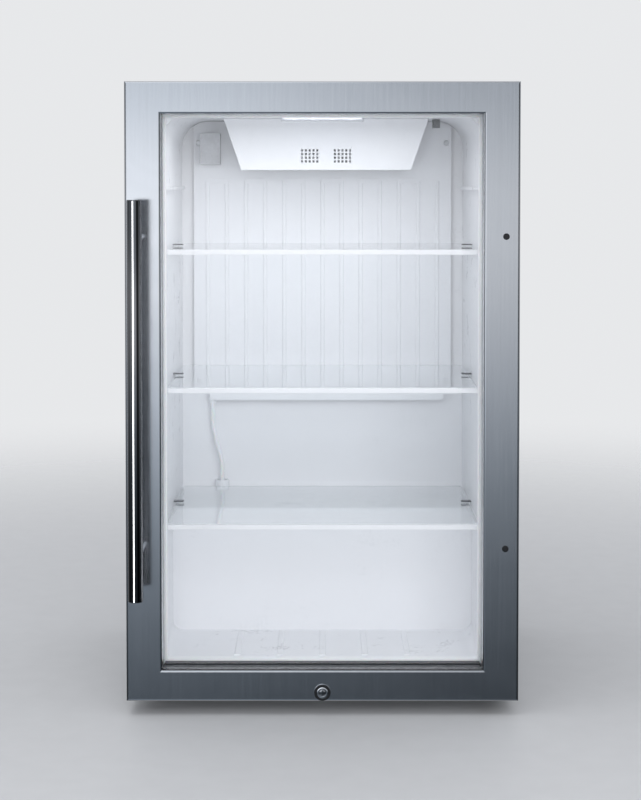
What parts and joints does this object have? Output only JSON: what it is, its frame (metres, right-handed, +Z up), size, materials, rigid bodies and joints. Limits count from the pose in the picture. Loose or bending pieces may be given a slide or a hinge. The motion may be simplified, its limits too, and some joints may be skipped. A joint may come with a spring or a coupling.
{
  "type": "reach in refrigerator",
  "caption": "Compact reach-in refrigerator: one glazed swing door with bar handle and cam lock, glass shelves, plate evaporator and rear machine space.",
  "frame": {"origin": "floor level, under the centre of the object's footprint box", "axes": "+Z up, door and handle face -Y, hinges on +X"},
  "size_m": [0.48, 0.4964, 0.775],
  "materials": {
    "brushed_steel": "vertically brushed stainless sheet",
    "liner_white": "glossy white moulded liner",
    "white_plastic": "satin white mouldings",
    "foam_core": "rigid polyurethane foam",
    "black_plastic": "black moulded plastic",
    "dark_plastic": "dark grey moulded plastic",
    "gasket_white": "soft white vinyl gasket",
    "seal_black": "black glazing rubber",
    "rubber_black": "black rubber",
    "clear_glass": "clear toughened float glass",
    "shelf_glass": "clear toughened shelf glass with polished edges",
    "chrome": "polished chrome",
    "aluminium": "mill-finish aluminium",
    "zinc_steel": "zinc-plated steel sheet",
    "black_steel": "black enamelled steel",
    "evaporator": "white epoxy-coated aluminium plate",
    "copper": "drawn copper tube",
    "hose_clear": "milky soft hose",
    "sleeve_grey": "grey insulating foam sleeve",
    "lens": "frosted clear lamp cover",
    "led_board": "white board with lit diodes",
    "nylon": "natural nylon"
  },
  "bodies": {
    "cabinet": {"hinge_brackets": "zinc_steel", "hinge_pins": "zinc_steel", "lock_strike": "zinc_steel", "cabinet_screws": "zinc_steel", "inner_liner": "liner_white", "cabinet_shell": "brushed_steel", "base_panel": "zinc_steel", "insulation": "foam_core", "back_panel": "zinc_steel", "rear_grille": "black_steel", "shelf_glass": "shelf_glass", "shelf_trims": "white_plastic", "shelf_clips": "dark_plastic", "evaporator_plate": "evaporator", "evaporator_screws": "zinc_steel", "fan_shroud": "white_plastic", "cool_fan_frame": "black_plastic", "lamp_body": "white_plastic", "lamp_board": "led_board", "lamp_lens": "lens", "temperature_probe": "dark_plastic", "drain_tray": "white_plastic", "drain_hose": "hose_clear", "drain_funnel": "white_plastic", "suction_line": "copper", "suction_sleeve": "sleeve_grey", "compressor": "black_steel", "compressor_mounts": "rubber_black", "relay_box": "black_plastic", "evaporation_pan": "dark_plastic", "condenser_tube": "copper", "condenser_fins": "aluminium", "condenser_fan_frame": "black_plastic", "filter_drier": "copper", "copper_lines": "copper", "thermostat": "dark_plastic", "power_inlet": "black_plastic", "foot_nuts": "zinc_steel"},
    "door": {"door_skin": "brushed_steel", "door_core": "foam_core", "door_inner_frame": "black_plastic", "door_gasket": "gasket_white", "door_panes": "clear_glass", "glass_spacer": "aluminium", "glazing_seal": "seal_black", "handle_bar": "chrome", "handle_posts": "chrome", "handle_screws": "zinc_steel", "hole_plugs": "chrome", "hinge_bushes": "nylon", "lock_barrel": "chrome"},
    "lock": {"lock_plug": "chrome", "lock_cam": "zinc_steel"},
    "cooling_fan": {"cool_fan": "black_plastic"},
    "machine_fan": {"condenser_fan": "black_plastic"},
    "thermostat_dial": {"thermostat_knob": "black_plastic"},
    "foot_front_left": {"foot_front_left": "rubber_black"},
    "foot_front_right": {"foot_front_right": "rubber_black"},
    "foot_rear_left": {"foot_rear_left": "rubber_black"},
    "foot_rear_right": {"foot_rear_right": "rubber_black"}
  },
  "joints": [
    {"name": "door_hinge", "type": "hinge", "parent": "cabinet", "child": "door", "pos_m": [0.228, -0.1707, 0.3965], "axis": [0, 0, 1], "range_deg": [0, 110]},
    {"name": "lock_turn", "type": "hinge", "parent": "door", "child": "lock", "pos_m": [0, -0.1932, 0.0294], "axis": [0, 1, 0], "range_deg": [0, 90]},
    {"name": "cooling_fan_spin", "type": "hinge", "parent": "cabinet", "child": "cooling_fan", "pos_m": [0.005, 0.0958, 0.707], "axis": [0, 1, 0], "continuous": true},
    {"name": "machine_fan_spin", "type": "hinge", "parent": "cabinet", "child": "machine_fan", "pos_m": [0.075, 0.1438, 0.0892], "axis": [1, 0, 0], "continuous": true},
    {"name": "thermostat_turn", "type": "hinge", "parent": "cabinet", "child": "thermostat_dial", "pos_m": [0.01, 0.2388, 0.136], "axis": [0, 1, 0], "range_deg": [0, 270]},
    {"name": "foot_front_left_screw", "type": "slide", "parent": "cabinet", "child": "foot_front_left", "axis": [0, 0, -1], "range_m": [0, 0.012]},
    {"name": "foot_front_right_screw", "type": "slide", "parent": "cabinet", "child": "foot_front_right", "axis": [0, 0, -1], "range_m": [0, 0.012]},
    {"name": "foot_rear_left_screw", "type": "slide", "parent": "cabinet", "child": "foot_rear_left", "axis": [0, 0, -1], "range_m": [0, 0.012]},
    {"name": "foot_rear_right_screw", "type": "slide", "parent": "cabinet", "child": "foot_rear_right", "axis": [0, 0, -1], "range_m": [0, 0.012]}
  ]
}
